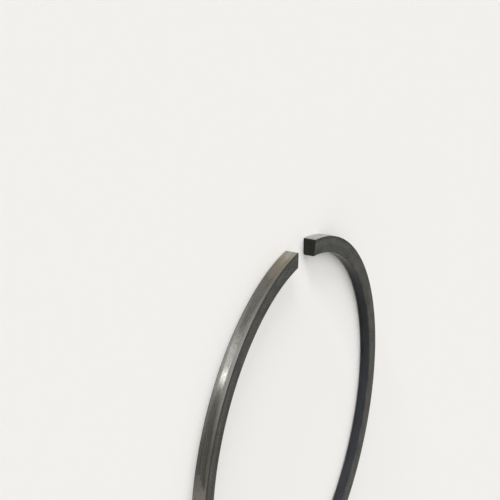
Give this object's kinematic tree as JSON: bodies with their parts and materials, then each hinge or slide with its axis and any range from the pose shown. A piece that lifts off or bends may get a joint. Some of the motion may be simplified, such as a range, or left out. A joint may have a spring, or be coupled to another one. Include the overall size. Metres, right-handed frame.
{
  "type": "piston ring",
  "caption": "Split keystone compression ring with a barrelled running face, tapered flanks and square-cut ends, to seal a piston in its cylinder.",
  "frame": {"origin": "on the ring's axis, at the middle of its width", "axes": "+Z along the ring's axis, +Y through the middle of the end gap"},
  "size_m": [0.1082, 0.1079, 0.0034],
  "materials": {
    "ring": "lapped satin running face, dark phosphated flanks, bore and ends"
  },
  "bodies": {
    "root": {"compression_ring": "ring"}
  },
  "joints": []
}
